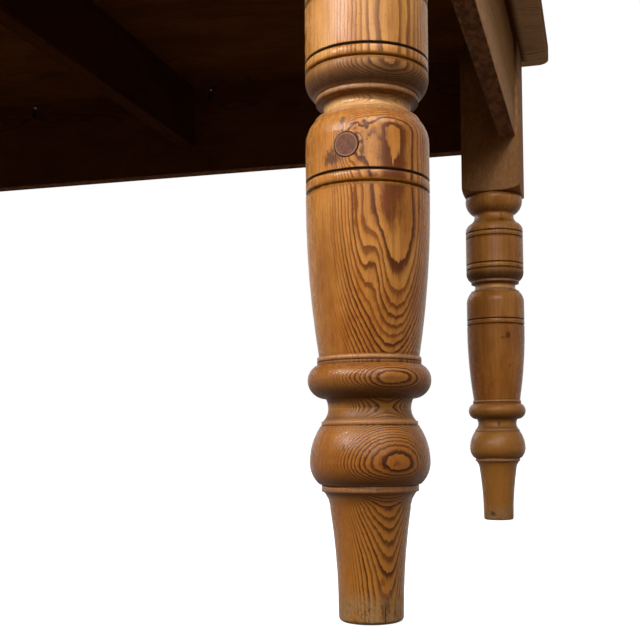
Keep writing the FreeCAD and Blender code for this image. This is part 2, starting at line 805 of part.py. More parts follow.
os.makedirs("parts", exist_ok=True)
for body in parts:
    body.Shape.exportStep(f"parts/{body.Label}.step")
    print(body.Label, len(body.Shape.Solids), "solids", round(body.Shape.Volume / 1000), "cm3")
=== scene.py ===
import math

import bmesh
import bpy
from mathutils import Matrix, Vector


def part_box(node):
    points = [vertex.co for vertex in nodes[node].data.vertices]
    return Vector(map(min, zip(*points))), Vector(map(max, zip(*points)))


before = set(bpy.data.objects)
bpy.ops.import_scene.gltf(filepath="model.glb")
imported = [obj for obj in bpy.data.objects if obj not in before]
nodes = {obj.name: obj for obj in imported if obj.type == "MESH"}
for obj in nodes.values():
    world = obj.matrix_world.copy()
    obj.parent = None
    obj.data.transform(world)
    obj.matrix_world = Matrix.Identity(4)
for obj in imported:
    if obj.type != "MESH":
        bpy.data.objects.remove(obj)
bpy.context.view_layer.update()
print("stage: frame loaded,", len(nodes), "pieces")


# Node helpers: each adds what it needs to the tree and returns the socket to use

def addNode(tree, kind, values=None, **settings):
    node = tree.nodes.new(kind)
    for name, value in settings.items():
        setattr(node, name, value)
    for socket, value in (values or {}).items():
        if isinstance(value, bpy.types.NodeSocket):
            tree.links.new(value, node.inputs[socket])
        else:
            node.inputs[socket].default_value = value
    return node


def feed(tree, sockets, values):
    for name, value in values.items():
        tree.links.new(value, sockets[name])


def calc(tree, operation, a, b=0.0, clamp=False):
    return addNode(tree, "ShaderNodeMath", {0: a, 1: b}, operation=operation, use_clamp=clamp).outputs[0]


def plus(tree, a, b):
    return calc(tree, "ADD", a, b)


def minus(tree, a, b):
    return calc(tree, "SUBTRACT", a, b)


def times(tree, a, b):
    return calc(tree, "MULTIPLY", a, b)


def share(tree, a, b):
    return calc(tree, "DIVIDE", a, b)


def most(tree, a, b):
    return calc(tree, "MAXIMUM", a, b)


def distanceTo(tree, value, place):
    return calc(tree, "ABSOLUTE", minus(tree, value, place))


def vecCalc(tree, operation, a, b=(0, 0, 0)):
    node = addNode(tree, "ShaderNodeVectorMath", {0: a, 1: b}, operation=operation)
    return node.outputs["Value" if operation in ("LENGTH", "DISTANCE", "DOT_PRODUCT") else "Vector"]


def scaled(tree, vector, factor):
    return addNode(tree, "ShaderNodeVectorMath", {0: vector, "Scale": factor}, operation="SCALE").outputs[0]


def components(tree, vector):
    return addNode(tree, "ShaderNodeSeparateXYZ", {0: vector}).outputs


def vectorOf(tree, x=0.0, y=0.0, z=0.0):
    return addNode(tree, "ShaderNodeCombineXYZ", {0: x, 1: y, 2: z}).outputs[0]


def fade(tree, value, start, end, low=0.0, high=1.0):
    # From low at the start to high at the end, where the start may be the larger value
    values = {0: value, 1: start, 2: end, 3: low, 4: high}
    return addNode(tree, "ShaderNodeMapRange", values, interpolation_type="SMOOTHSTEP").outputs[0]


def cover(tree, base, mask, colour, strength=1.0, blend="MIX"):
    # Lays a colour over the base where the mask is
    factor = mask if strength == 1.0 else times(tree, mask, strength)
    values = {0: factor, 6: base, 7: colour}
    return addNode(tree, "ShaderNodeMix", values, data_type="RGBA", blend_type=blend).outputs[2]


def coverAll(tree, base, layers):
    # Each layer is a mask, its strength and its colour
    for mask, strength, colour in layers:
        base = cover(tree, base, mask, colour, strength)
    return base


def noise(tree, vector, scale, detail=2.0, roughness=0.5, distortion=0.0, output=0):
    values = {"Vector": vector, "Scale": scale, "Detail": detail, "Roughness": roughness,
              "Distortion": distortion}
    return addNode(tree, "ShaderNodeTexNoise", values).outputs[output]


def wobble(tree, vector, detail, roughness=0.5):
    # A smooth random vector round zero
    colour = noise(tree, vector, 1.0, detail, roughness, output=1)
    return vecCalc(tree, "SUBTRACT", colour, (0.5, 0.5, 0.5))


def jitter(tree, vector, detail, roughness, distortion=0.0):
    # A smooth random value round zero
    return minus(tree, noise(tree, vector, 1.0, detail, roughness, distortion), 0.5)


def ramp(tree, value, stops):
    node = addNode(tree, "ShaderNodeValToRGB", {0: value})
    elements = node.color_ramp.elements
    while len(elements) < len(stops):
        elements.new(0.5)
    for element, (place, grey) in zip(elements, sorted(stops)):
        element.position = place
        element.color = (grey, grey, grey, 1)
    return node.outputs[0]


def curve(tree, value, points):
    node = addNode(tree, "ShaderNodeFloatCurve", {1: value})
    line = node.mapping.curves[0]
    while len(line.points) < len(points):
        line.points.new(0.5, 0.5)
    for point, place in zip(line.points, points):
        point.location = place
        point.handle_type = "VECTOR"
    node.mapping.update()
    return node.outputs[0]


def bumped(tree, height, strength, distance):
    values = {"Height": height, "Strength": strength, "Distance": distance}
    return addNode(tree, "ShaderNodeBump", values).outputs[0]


def inMillimetres(tree, coords, centre, turn=(0, 0, 0)):
    values = {"Vector": coords["Object"], "Location": centre, "Rotation": turn,
              "Scale": (0.001, 0.001, 0.001)}
    return addNode(tree, "ShaderNodeMapping", values, vector_type="TEXTURE").outputs[0]


def newGroup(name, vectors, numbers, outputs):
    tree = bpy.data.node_groups.new(name, "ShaderNodeTree")
    for label in vectors:
        tree.interface.new_socket(label, in_out="INPUT", socket_type="NodeSocketVector")
    for label, value in numbers.items():
        socket = tree.interface.new_socket(label, in_out="INPUT", socket_type="NodeSocketFloat")
        socket.default_value = value
    for label in outputs:
        tree.interface.new_socket(label, in_out="OUTPUT", socket_type="NodeSocketFloat")
    given = tree.nodes.new("NodeGroupInput").outputs
    out = tree.nodes.new("NodeGroupOutput").inputs
    return tree, given, out


def useGroup(tree, group, values):
    return addNode(tree, "ShaderNodeGroup", values, node_tree=group).outputs


def newMaterial(name):
    material = bpy.data.materials.new(name)
    material.use_nodes = True
    tree = material.node_tree
    coords = addNode(tree, "ShaderNodeTexCoord").outputs
    return material, tree, tree.nodes["Principled BSDF"], coords


def dress(name, material):
    mesh = nodes[name].data
    mesh.materials.clear()
    mesh.materials.append(material)


def rgb(red, green, blue):
    # A screen colour from 0 to 255, as the linear colour that the shader takes
    def linear(value):
        part = value / 255
        return part / 12.92 if part < 0.04045 else ((part + 0.055) / 1.055) ** 2.4
    return (linear(red), linear(green), linear(blue), 1)


# Shared effects: all but boxEdge take positions in millimetres, with the grain along Z

figure = {
    # How fast each pattern changes, twice across the grain and then along it
    "drift": (0.03, 0.03, 0.010),
    "fray": (0.55, 0.55, 0.09),
    "fibre": (1.5, 1.5, 0.05),
    "pores": (1.7, 1.7, 0.28),
    "streaks": (0.28, 0.28, 0.012),
    "stainEdge": (0.42, 0.42, 0.2),
    "crackBend": 0.22,
    "knotBend": 0.16,
    # Darkness across one growth ring
    "ring": [(0.0, 0.4), (0.035, 0.0), (0.34, 0.05), (0.53, 0.3), (0.71, 0.88), (0.965, 1.0), (1.0, 0.4)],
}


def makeGrowthRings():
    # Rings round the Z axis, with a random tone for each ring
    numbers = {"Lift": 0.0, "Ring Width": 0.8, "Wander": 1.0, "Fray": 0.2, "Seed": 0.0}
    tree, given, out = newGroup("growthRings", ["Position"], numbers, ["Latewood", "Ring Tone"])
    seeded = vecCalc(tree, "ADD", given["Position"], vectorOf(tree, z=given["Seed"]))
    drift = wobble(tree, vecCalc(tree, "MULTIPLY", seeded, figure["drift"]), 1.5)
    drift = scaled(tree, drift, given["Wander"])
    moved = vecCalc(tree, "ADD", given["Position"], vecCalc(tree, "MULTIPLY", drift, (1, 1, 0)))
    flat = vecCalc(tree, "MULTIPLY", moved, (1, 1, 0))
    distance = plus(tree, vecCalc(tree, "LENGTH", flat), given["Lift"])
    fray = jitter(tree, vecCalc(tree, "MULTIPLY", seeded, figure["fray"]), 2.0, 0.6)
    distance = plus(tree, distance, times(tree, fray, given["Fray"]))
    swing = times(tree, noise(tree, vectorOf(tree, distance), 0.11, 1.0), 2.0)  # wide and narrow years
    count = plus(tree, share(tree, distance, given["Ring Width"]), swing)
    late = curve(tree, calc(tree, "FRACT", count), figure["ring"])
    year = calc(tree, "FLOOR", count)
    tone = addNode(tree, "ShaderNodeTexWhiteNoise", {"W": year}, noise_dimensions="1D").outputs["Value"]
    feed(tree, out, {"Latewood": late, "Ring Tone": tone})
    return tree


def makeFibre():
    tree, given, out = newGroup("fibre", ["Position"], {}, ["Fibre", "Pores", "Streaks"])
    long, dashed, wide = [vecCalc(tree, "MULTIPLY", given["Position"], figure[kind])
                          for kind in ("fibre", "pores", "streaks")]
    pores = fade(tree, noise(tree, dashed, 1.0, 1.0, 0.5), 0.67, 0.76)
    feed(tree, out, {"Fibre": noise(tree, long, 1.0, 3.0, 0.65), "Pores": pores,
                     "Streaks": noise(tree, wide, 1.0, 2.0, 0.6)})
    return tree


def fromCentre(tree, given):
    # The way from the centre, shortened along the grain by the stretch
    away = vecCalc(tree, "SUBTRACT", given["Position"], given["Centre"])
    squeeze = vectorOf(tree, 1.0, 1.0, share(tree, 1.0, given["Stretch"]))
    return vecCalc(tree, "MULTIPLY", away, squeeze)


def makeKnot():
    # A knot or burl: it lifts the rings over itself and has a dark core in a halo
    numbers = {"Radius": 5.0, "Rise": 6.0, "Stretch": 1.6}
    tree, given, out = newGroup("knot", ["Position", "Centre"], numbers, ["Core", "Lift", "Halo"])
    bend = wobble(tree, scaled(tree, given["Position"], figure["knotBend"]), 1.5)
    away = vecCalc(tree, "ADD", fromCentre(tree, given), scaled(tree, bend, given["Radius"]))
    reach = share(tree, vecCalc(tree, "LENGTH", away), given["Radius"])
    fall = calc(tree, "EXPONENT", times(tree, times(tree, reach, reach), -0.16))
    feed(tree, out, {"Core": fade(tree, reach, 1.05, 0.75), "Lift": times(tree, fall, given["Rise"]),
                     "Halo": fade(tree, reach, 2.6, 0.9)})
    return tree


def makeStain():
    # A soft patch with a ragged outline
    numbers = {"Radius": 5.0, "Stretch": 1.0}
    tree, given, out = newGroup("stain", ["Position", "Centre"], numbers, ["Mask"])
    ragged = wobble(tree, vecCalc(tree, "MULTIPLY", given["Position"], figure["stainEdge"]), 3.0, 0.65)
    ragged = scaled(tree, ragged, times(tree, given["Radius"], 2.6))
    away = vecCalc(tree, "ADD", fromCentre(tree, given), ragged)
    reach = share(tree, vecCalc(tree, "LENGTH", away), given["Radius"])
    feed(tree, out, {"Mask": fade(tree, reach, 1.25, 0.45)})
    return tree


def makeCheck():
    # A hairline drying crack that runs up the grain on one side of a leg
    numbers = {"Low": 0.0, "High": 20.0, "Width": 0.4}
    tree, given, out = newGroup("check", ["Position", "Facing", "Across"], numbers, ["Mask"])
    height = components(tree, given["Position"])[2]
    along = vectorOf(tree, z=times(tree, height, figure["crackBend"]))
    wiggle = times(tree, jitter(tree, along, 2.0, 0.6), 2.2)
    offset = plus(tree, vecCalc(tree, "DOT_PRODUCT", given["Position"], given["Across"]), wiggle)
    line = fade(tree, share(tree, calc(tree, "ABSOLUTE", offset), given["Width"]), 1.0, 0.35)
    facing = vecCalc(tree, "DOT_PRODUCT", given["Position"], given["Facing"])
    side = calc(tree, "GREATER_THAN", facing, 5.0)
    ends = times(tree, fade(tree, minus(tree, height, given["Low"]), -1.0, 3.0),
                 fade(tree, minus(tree, given["High"], height), -1.0, 7.0))
    feed(tree, out, {"Mask": times(tree, times(tree, line, side), ends)})
    return tree


def makeMottle():
    # Broad patches of two kinds, and fine dust
    tree, given, out = newGroup("mottle", ["Position"], {"Size": 40.0}, ["Patches", "Hue", "Dust"])
    place = vecCalc(tree, "MULTIPLY", given["Position"], (1, 1, 0.5))
    place = scaled(tree, place, share(tree, 1.0, given["Size"]))
    shifted = vecCalc(tree, "ADD", place, (31, 17, 5))
    grainy = vecCalc(tree, "ADD", place, (7, 3, 40))
    feed(tree, out, {"Patches": noise(tree, place, 1.0, 3.0, 0.55),
                     "Hue": noise(tree, shifted, 0.6, 2.0, 0.5),
                     "Dust": noise(tree, grainy, 9.0, 4.0, 0.75)})
    return tree


def makeBoxEdge():
    # How near a point is to an edge of the box that its piece fills, in metres
    vectors = ["Position", "Middle", "Half"]
    tree, given, out = newGroup("boxEdge", vectors, {"Width": 0.002}, ["Edge"])
    away = vecCalc(tree, "ABSOLUTE", vecCalc(tree, "SUBTRACT", given["Position"], given["Middle"]))
    inside = components(tree, vecCalc(tree, "SUBTRACT", given["Half"], away))
    low = calc(tree, "MINIMUM", inside[0], inside[1])
    high = most(tree, inside[0], inside[1])
    second = most(tree, low, calc(tree, "MINIMUM", high, inside[2]))  # the second nearest face
    uneven = times(tree, noise(tree, given["Position"], 60.0, 3.0, 0.6), 2.0)
    reach = share(tree, second, times(tree, given["Width"], uneven))
    feed(tree, out, {"Edge": fade(tree, reach, 1.0, 0.2)})
    return tree


growthRings = makeGrowthRings()
fibre = makeFibre()
knot = makeKnot()
stain = makeStain()
check = makeCheck()
mottle = makeMottle()
boxEdge = makeBoxEdge()


# Turned legs

turning = {
    # Heights in mm: the scribed lines, and the middle, half height and crown of each bead and fillet
    "sharpLines": [309.3, 396.3, 446.2],
    "softLines": [300.8, 387.8, 437.7],
    "beads": [(305.05, 4.3, 1.7), (392.05, 4.3, 1.7), (441.95, 4.3, 1.2), (92.5, 2.7, 1.3), (137.5, 1.7, 0.8),
              (182.4, 1.7, 1.1), (179.5, 1.0, 0.5), (353.5, 1.1, 0.6), (369.0, 2.1, 1.1)],
    # The turning's radius at some heights
    "radii": [(0, 22.8), (60, 26.5), (78, 28.4), (91, 34.0), (112, 42.7), (136, 35.0), (148, 29.4),
              (156, 31.0), (168, 43.9), (182, 37.1), (200, 40.2), (240, 43.3), (270, 44.3), (297, 44.5),
              (337, 44.5), (352, 38.0), (362, 31.1), (370, 37.0), (392, 44.5), (450, 44.5), (474, 30.5),
              (482, 33.0), (498, 44.2)],
    # Dirt and painted shade in the hollows by height: a ramp holds 32 stops at most, so there are two, parted
    # at hollowJoin
    "lowShadeAndDirt": [(0.0, .7), (2.5, .15), (60, .0), (86, .2), (90, .85), (91.5, .1), (94.5, .25), (96, .95),
                   (100, .55), (108, 0), (132, 0), (136, .45), (138.2, .1), (139.4, .75), (149, .1),
                   (153, .7), (157, .95), (161, .8), (165, .4), (171, 0), (178.0, .1), (178.7, .45),
                   (179.2, .05), (180.1, .1), (180.5, .85), (181.0, .1), (183.4, .0), (184.1, .5), (187, .0),
                   (351, .0), (352.8, .6), (354.4, .1)],
    "highShadeAndDirt": [(354, .1), (355, .7), (358, .0), (361.5, .1), (364.5, .8), (367, 1.0), (370.7, .0),
                    (371.4, 1.0), (379, 1.0), (385, .5), (389, 0.05), (458, .0), (461, .5), (466, .25),
                    (474, .1), (478, .7), (482, .5), (490, .1), (500, 0), (505.7, .8), (509, 0)],
    "hollowJoin": 354.2,
    # Paler fillets, partly wear and partly a painted highlight on their rounded edges, and redder members
    "worn": [(0.0, 0), (90.6, 0), (91.4, .75), (94.0, .7), (95.2, .1), (96, 0), (136.4, 0), (137.6, .8),
             (138.8, .8), (139.6, 0), (178.4, 0), (178.9, .7), (180.0, .7), (180.4, .1), (181.2, .3),
             (182.8, .9), (183.8, .3), (184.6, 0), (352.6, 0), (353.2, .8), (354.4, .8), (355.0, 0),
             (367.2, 0), (368.0, .8), (370.4, 1), (371.4, 0), (505, 0)],
    "reds": [(0.0, .0), (60, .25), (96, .7), (112, .9), (134, .6), (148, .35), (160, .75), (176, .8),
             (186, .1), (290, .0), (600, .0)],
    "rampTop": 600.0,
}


def makeTurnedZones():
    outputs = ["Groove", "Soft Line Shade", "Hollow Shade And Dirt", "Fillet", "Red", "Crown"]
    tree, given, out = newGroup("turnedZones", [], {"Height": 0.0}, outputs)
    height = given["Height"]
    groove, softShade, crown = 0.0, 0.0, 0.0
    for level in turning["sharpLines"]:
        groove = most(tree, groove, fade(tree, distanceTo(tree, height, level), 1.4, 0.7))
    # Painted shade: a broad soft brown line under each bead, at the lower scribed lines
    for level in turning["softLines"]:
        softShade = most(tree, softShade, fade(tree, distanceTo(tree, height, level), 3.3, 1.8))
    for middle, half, rise in turning["beads"]:
        away = share(tree, minus(tree, height, middle), half)
        rounded = calc(tree, "SQRT", calc(tree, "SUBTRACT", 1.0, times(tree, away, away), clamp=True))
        crown = plus(tree, crown, times(tree, rounded, rise))
    portion = share(tree, height, turning["rampTop"])

    def zone(key):
        return ramp(tree, portion, [(level / turning["rampTop"], value) for level, value in turning[key]])

    above = calc(tree, "GREATER_THAN", height, turning["hollowJoin"])
    hollowShadeAndDirt = plus(tree, times(tree, zone("lowShadeAndDirt"), minus(tree, 1.0, above)),
                  times(tree, zone("highShadeAndDirt"), above))
    feed(tree, out, {"Groove": groove, "Soft Line Shade": softShade, "Hollow Shade And Dirt": hollowShadeAndDirt, "Fillet": zone("worn"),
                     "Red": zone("reds"), "Crown": crown})
    return tree


turnedZones = makeTurnedZones()

pine = {
    "pale": rgb(210, 150, 80),
    "amber": rgb(184, 117, 44),
    "olive": rgb(156, 100, 32),
    "golden": rgb(230, 176, 106),
    "fibre": rgb(214, 160, 96),
    "late": rgb(118, 55, 8),
    "lateDark": rgb(76, 29, 4),
    "lateLower": rgb(86, 38, 10),
    "stain": rgb(112, 52, 16),
    "bruise": rgb(66, 36, 26),
    "grimeAndShade": rgb(30, 12, 3),
    "dust": rgb(190, 142, 106),
    "waistHighlight": rgb(236, 192, 132),
    "softLineShade": rgb(132, 84, 28),
    "blockDull": rgb(134, 92, 54),
    "blockPale": rgb(160, 118, 80),
    "wornFoot": rgb(146, 116, 78),
    "scuff": rgb(84, 58, 34),
    # These three are multiplied in
    "redder": rgb(190, 156, 96),
    "darkerLow": rgb(208, 190, 150),
    "darkerFromBarrelDown": rgb(240, 232, 210),
}
legBands = {
    # Heights in mm at which each band starts and is complete
    "clearRings": (460.0, 330.0),
    "lower": (200.0, 150.0),
    "darkerLow": (300.0, 50.0),
    "darkerFromBarrelDown": (400.0, 335.0),
    "shadeUnderBarrel": (385.0, 373.0),
    "block": (505.0, 509.0),
    "shadeUnderTop": (670.0, 738.0),
    "foot": (27.0, 8.0),
    "sole": (3.0, 0.4),
}
legFinish = {
    # Heights and depths in mm
    "barrelFoot": 371.0,
    "waistHighlight": 360.0,
    "knotDepth": 2.5,
    "markDepth": 0.5,
    "curlRadius": 43,
    "burlSize": 5.2,  # from this size on a knot only bends the grain
    "specular": 0.09,
    "bump": 0.001,
}
legs = {
    # Axis and pith are in metres, turns in degrees from the front towards +X, heights and sizes in mm;
    # lines and contrast say how strongly the scribed lines and the growth rings show
    "leg_front_right": {
        "axis": (0.8285, -0.440), "flat": 37.0, "pith": 0.038, "tilt": (0.2, 0.2), "ring": 0.95,
        "wander": 3.0, "fray": 0.3, "seed": 0.0, "red": 0.75, "lowDarkening": 1.0, "tint": rgb(255, 255, 255),
        "lines": 0.9, "contrast": 1.0, "knots": [((-4, 331), 5.5, 3.5)], "curl": ((6, 334), 11.0, 1.5),
        "swells": [((20, 247), 2.5, -1.7, 4.6)],
        "stains": [((47, 315), 3.0, 1.2), ((20, 305), 2.6, 0.8), ((31, 304.5), 2.6, 0.8),
                   ((46, 305), 2.8, 0.7), ((2, 286), 2.6, 6.0), ((27, 289), 3.0, 4.5), ((66, 286), 2.0, 3.0),
                   ((33, 29), 2.2, 1.5), ((38, 20), 1.8, 1.3), ((38, 110), 2.8, 1.0)],
        "bruises": [((-21, 318), 7.0, 0.9), ((-10, 343), 3.4, 0.8), ((9, 322), 2.6, 2.2),
                    ((-12, 121), 2.4, 1.9)],
        "checks": [(38, 0, 17, 0.55), (14, 425, 505, 0.35)],
    },
    "leg_back_right": {
        "axis": (0.8285, 0.440), "flat": -70.0, "pith": 0.052, "tilt": (0.4, -0.5), "ring": 0.95,
        # this leg's darker tint is painted shade
        "wander": 5.0, "fray": 0.4, "seed": 310.0, "red": 0.1, "lowDarkening": 0.6, "tint": rgb(228, 219, 196),
        "lines": 0.62, "contrast": 0.5, "curl": ((40, 412), 8.0, 2.0), "swells": [],
        "knots": [((24, 461), 4.2, 3.0), ((31, 282), 4.6, 3.0), ((11, 146), 2.8, 1.0)],
        "stains": [((60, 392), 4.0, 1.5), ((20, 279), 5.0, 0.45), ((35, 236), 3.6, 1.2)],
        "bruises": [((-18, 10), 4.4, 0.9)], "checks": [(200, 560, 640, 0.5)],
    },
    "leg_front_left": {
        "axis": (-0.8285, -0.440), "flat": -32.0, "pith": 0.045, "tilt": (-0.5, 0.4), "ring": 0.85,
        "wander": 6.0, "fray": 0.5, "seed": 620.0, "red": 0.5, "lowDarkening": 0.8, "tint": rgb(246, 240, 228),
        "lines": 0.85, "contrast": 0.9, "knots": [((-40, 246), 5.0, 4.0)], "curl": ((-46, 256), 9.0, 2.5),
        "swells": [], "stains": [((15, 322), 3.0, 2.0)], "bruises": [((-60, 398), 3.2, 1.2)],
        "checks": [(-12, 0, 22, 0.5), (30, 590, 700, 0.5)],
    },
    "leg_back_left": {
        "axis": (-0.8285, 0.440), "flat": 205.0, "pith": 0.048, "tilt": (0.5, 0.3), "ring": 0.9,
        "wander": 6.0, "fray": 0.45, "seed": 930.0, "red": 0.5, "lowDarkening": 0.8, "tint": rgb(250, 248, 244),
        "lines": 0.85, "contrast": 0.9, "knots": [((190, 402), 4.0, 4.0)], "curl": ((196, 410), 9.0, 2.5),
        "swells": [], "stains": [((160, 262), 3.0, 2.5)], "bruises": [((230, 122), 3.5, 1.0)],
        "checks": [(200, 0, 26, 0.5), (170, 620, 720, 0.5)],
    },
}


def outward(degrees):
    # Unit direction on the floor, turned from the front towards +X
    angle = math.radians(degrees)
    return Vector((math.sin(angle), -math.cos(angle), 0))


def surfacePoint(turn, level, depth):
    # A point this deep under the turned surface
    radius = turning["radii"][-1][1]
    for (low, before), (high, after) in zip(turning["radii"], turning["radii"][1:]):
        if level <= high:
            radius = before + (after - before) * (level - low) / (high - low)
            break
    return outward(turn) * (radius - depth) + Vector((0, 0, level))


def markLeg(tree, place, leg):
    # How far the leg's own knots, swells and curl lift the rings, and the masks of its marks
    lift = 0.0
    marks = {"halo": 0.0, "core": 0.0, "stains": 0.0, "bruises": 0.0, "checks": 0.0}
    for (turn, level), size, rise in leg["knots"]:
        centre = surfacePoint(turn, level, legFinish["knotDepth"])
        found = useGroup(tree, knot, {"Position": place, "Centre": centre, "Radius": size, "Rise": rise})
        lift = plus(tree, lift, found["Lift"])
        marks["halo"] = most(tree, marks["halo"], found["Halo"])
        if size < legFinish["burlSize"]:
            marks["core"] = most(tree, marks["core"], found["Core"])
    for (turn, level), size, rise, stretch in leg["swells"]:
        centre = surfacePoint(turn, level, legFinish["markDepth"])
        values = {"Position": place, "Centre": centre, "Radius": size, "Rise": rise, "Stretch": stretch}
        lift = plus(tree, lift, useGroup(tree, knot, values)["Lift"])
    for kind in ("stains", "bruises"):
        for (turn, level), size, stretch in leg[kind]:
            centre = surfacePoint(turn, level, legFinish["markDepth"])
            values = {"Position": place, "Centre": centre, "Radius": size, "Stretch": stretch}
            marks[kind] = most(tree, marks[kind], useGroup(tree, stain, values)["Mask"])
    for turn, bottom, top, width in leg["checks"]:
        values = {"Position": place, "Facing": outward(turn), "Across": outward(turn + 90), "Low": bottom,
                  "High": top, "Width": width}
        marks["checks"] = most(tree, marks["checks"], useGroup(tree, check, values)["Mask"])
    (turn, level), size, swirl = leg["curl"]
    middle = outward(turn) * legFinish["curlRadius"] + Vector((0, 0, level))
    near = fade(tree, share(tree, vecCalc(tree, "DISTANCE", place, middle), size), 1.7, 0.5)
    curled = jitter(tree, scaled(tree, place, 0.14), 1.5, 0.5, 0.5)
    lift = plus(tree, lift, times(tree, times(tree, curled, near), swirl * 2))
    return lift, marks


def makeLegPine(name, leg):
    material, tree, shader, coords = newMaterial(name)
    axis = Vector((*leg["axis"], 0))
    tilt = [math.radians(value) for value in leg["tilt"]]
    grain = inMillimetres(tree, coords, axis - outward(leg["flat"]) * leg["pith"], (*tilt, 0))
    place = inMillimetres(tree, coords, axis)
    height = components(tree, place)[2]

    def band(key, low=0.0, high=1.0):
        return fade(tree, height, *legBands[key], low, high)

    lift, marks = markLeg(tree, place, leg)
    rings = useGroup(tree, growthRings, {"Position": grain, "Lift": lift, "Ring Width": leg["ring"],
                                         "Wander": leg["wander"], "Fray": leg["fray"], "Seed": leg["seed"]})
    threads = useGroup(tree, fibre, {"Position": place})
    shifted = vecCalc(tree, "ADD", place, (leg["seed"], 0, 0))
    patches = useGroup(tree, mottle, {"Position": shifted, "Size": 38.0})
    zones = useGroup(tree, turnedZones, {"Height": height})

    # The rings show most where they are cut flat, and on end grain
    strength = times(tree, rings["Latewood"], fade(tree, rings["Ring Tone"], 0.0, 1.0, 0.75, 1.0))
    strength = times(tree, strength, band("clearRings", 0.62, 1.0))
    across = calc(tree, "ABSOLUTE", vecCalc(tree, "DOT_PRODUCT", coords["Normal"], outward(leg["flat"])))
    upright = calc(tree, "ABSOLUTE", components(tree, coords["Normal"])[2])
    across = most(tree, fade(tree, across, 0.46, 0.8, 0.25, 1.0), fade(tree, upright, 0.25, 0.7))
    strength = times(tree, times(tree, strength, across), leg["contrast"])
    strength = times(tree, strength, minus(tree, 1.0, fade(tree, zones["Fillet"], 0.0, 0.25, 0.0, 0.75)))

    lower = band("lower")
    golden = times(tree, lower, fade(tree, across, 0.4, 1.0, 0.6, 0.85))
    early = coverAll(tree, pine["amber"], [
        (fade(tree, patches["Patches"], 0.35, 0.65), 1.0, pine["pale"]),
        (fade(tree, patches["Hue"], 0.5, 0.68, 0.0, 0.6), 1.0, pine["olive"]),
        (fade(tree, threads["Streaks"], 0.42, 0.64, 0.0, 0.35), 1.0, pine["late"]),
        (golden, 1.0, pine["golden"]),
        (fade(tree, threads["Fibre"], 0.35, 0.65, 0.0, 0.25), 1.0, pine["fibre"]),
    ])
    dark = cover(tree, pine["late"], rings["Ring Tone"], pine["lateDark"])
    dark = cover(tree, dark, lower, pine["lateLower"])
    wood = cover(tree, early, strength, dark)
    wood = cover(tree, wood, threads["Pores"], pine["lateDark"], 0.55)
    wood = cover(tree, wood, zones["Red"], pine["redder"], leg["red"], "MULTIPLY")
    wood = cover(tree, wood, 1.0, leg["tint"], blend="MULTIPLY")
    # Darker towards the bottom, and from the barrel down
    wood = cover(tree, wood, band("darkerLow", 0.0, leg["lowDarkening"]), pine["darkerLow"], blend="MULTIPLY")
    wood = cover(tree, wood, band("darkerFromBarrelDown"), pine["darkerFromBarrelDown"], blend="MULTIPLY")

    # Painted highlight: the waist is lighter where it faces up into the light
    waistHighlight = fade(tree, distanceTo(tree, height, legFinish["waistHighlight"]), 6.0, 2.0)
    dashes = times(tree, fade(tree, threads["Fibre"], 0.52, 0.66), fade(tree, zones["Fillet"], 0.05, 0.3))
    # Painted shade on the lower part of the barrel, above its foot
    under = times(tree, band("shadeUnderBarrel"), calc(tree, "GREATER_THAN", height, legFinish["barrelFoot"]))
    block = band("block")
    dusty = cover(tree, pine["blockDull"], fade(tree, patches["Dust"], 0.4, 0.7), pine["blockPale"])
    dusty = cover(tree, dusty, strength, pine["lateDark"], 0.5)
    foot = band("foot")
    worn = times(tree, foot, fade(tree, patches["Dust"], 0.36, 0.56))
    scuffs = times(tree, foot, fade(tree, noise(tree, place, 0.5, 3.0, 0.7), 0.5, 0.62))
    wood = coverAll(tree, wood, [
        (marks["stains"], 0.75, pine["stain"]),
        (marks["halo"], 0.15, pine["stain"]),
        (marks["core"], 0.8, pine["lateDark"]),
        # paler fillets: partly wear, partly a painted highlight
        (zones["Fillet"], 0.6, pine["dust"]),
        # painted highlight on the waist
        (waistHighlight, 0.35, pine["waistHighlight"]),
        (dashes, 0.5, pine["late"]),
        # painted shade, with some dirt, in the hollows
        (zones["Hollow Shade And Dirt"], 0.7, pine["grimeAndShade"]),
        # painted shade under the barrel
        (under, 0.4, pine["grimeAndShade"]),
        (zones["Groove"], leg["lines"], pine["grimeAndShade"]),
        # painted shade under the beads
        (zones["Soft Line Shade"], 0.8, pine["softLineShade"]),
        (block, 0.8, dusty),
        # painted shade under the top, on the upper part of each leg's block
        (band("shadeUnderTop", 0.0, 0.6), 1.0, pine["grimeAndShade"]),
        (worn, 0.8, pine["wornFoot"]),
        (scuffs, 0.5, pine["scuff"]),
        (marks["bruises"], 0.85, pine["bruise"]),
        (band("sole"), 0.6, pine["grimeAndShade"]),
        (marks["checks"], 0.9, pine["grimeAndShade"]),
    ])

    rough = fade(tree, patches["Dust"], 0.3, 0.7, 0.17, 0.34)
    for mask, more in ((most(tree, zones["Hollow Shade And Dirt"], zones["Groove"]), 0.35), (worn, 0.3), (block, 0.5)):
        rough = plus(tree, rough, times(tree, mask, more))
    relief = plus(tree, times(tree, rings["Latewood"], 0.08), times(tree, threads["Fibre"], 0.22))
    relief = minus(tree, relief, times(tree, threads["Pores"], 0.14))
    relief = plus(tree, relief, times(tree, patches["Dust"], 0.2))
    relief = minus(tree, relief, times(tree, marks["checks"], 0.6))
    relief = plus(tree, relief, zones["Crown"])
    normal = bumped(tree, relief, 1.0, legFinish["bump"])
    feed(tree, shader.inputs, {"Base Color": wood, "Roughness": rough, "Normal": normal})
    shader.inputs["Specular IOR Level"].default_value = legFinish["specular"]
    return material


for name, leg in legs.items():
    dress(name, makeLegPine("pine_" + name, leg))
print("stage: legs finished")


# Rails, bearers and boards: flat sawn, with the grain along their length

